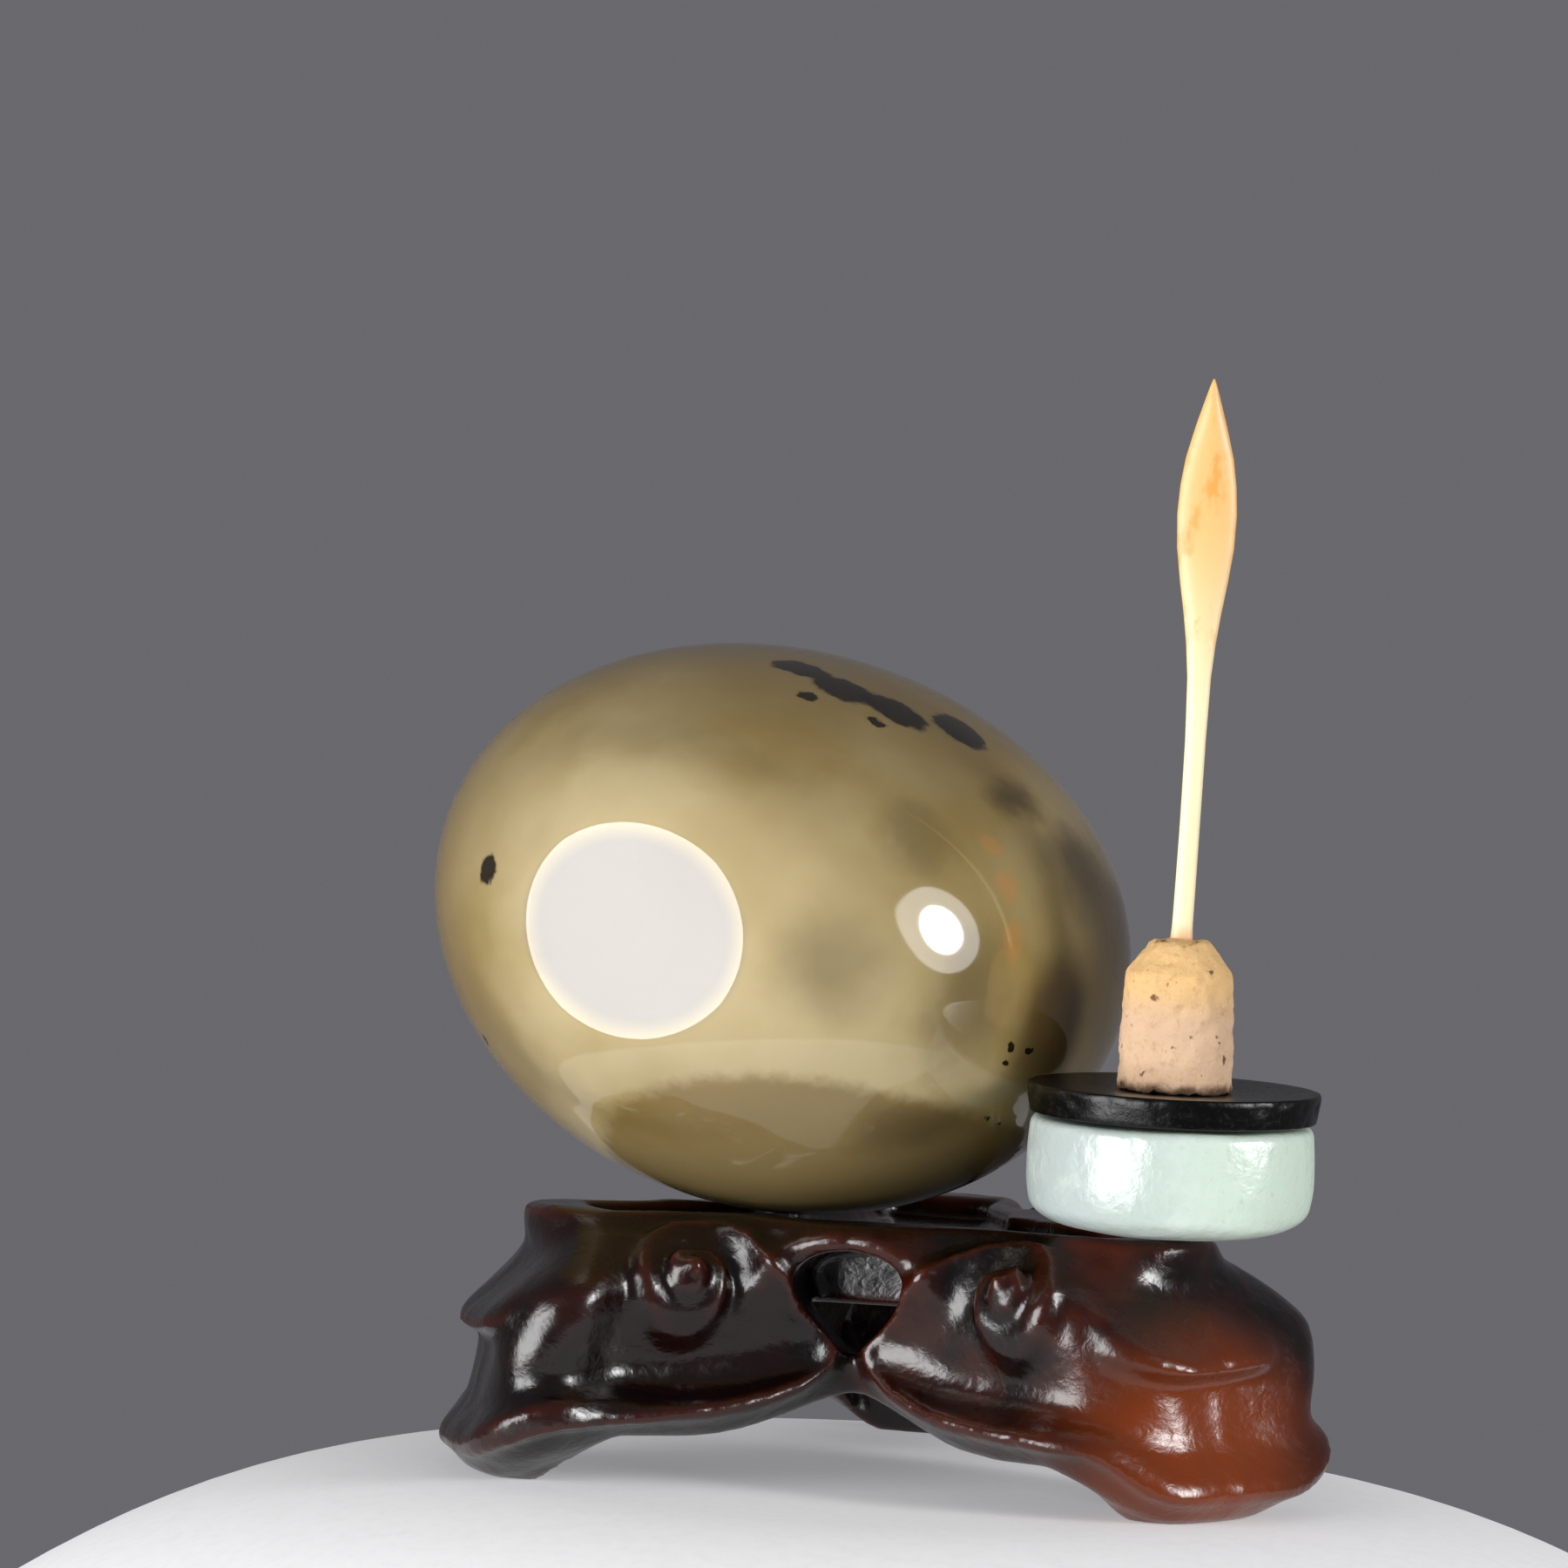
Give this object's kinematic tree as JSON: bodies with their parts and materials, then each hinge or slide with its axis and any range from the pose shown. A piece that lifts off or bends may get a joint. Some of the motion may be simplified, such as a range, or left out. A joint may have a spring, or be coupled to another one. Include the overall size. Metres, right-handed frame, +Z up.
{
  "type": "snuff bottle",
  "caption": "Hollow pebble-shaped agate snuff bottle lying on a carved wood stand, with its jade-capped stopper and bone spoon standing upside down on one arm.",
  "frame": {"origin": "middle of the whole group's outline, on the surface that the stand's three feet rest on", "axes": "+Z up; -Y towards the front, where a window between two arms of the stand faces; the bottle's mouth points away, close to +Y, and the stopper stands on the front right arm"},
  "size_m": [0.0656, 0.0597, 0.077],
  "materials": {
    "agate": "polished, translucent, with dark inclusions",
    "hardwood": "dark, hand carved, glossy",
    "jade": "polished, pale green, cloudy",
    "black_collar": "black, turned, worn sheen",
    "cork": "rough, pitted",
    "bone": "satin, stained orange in places"
  },
  "bodies": {
    "root": {"bottle": "agate", "stand": "hardwood", "stopper_cap": "jade", "stopper_collar": "black_collar", "stopper_cork": "cork", "stopper_spoon": "bone"}
  },
  "joints": []
}
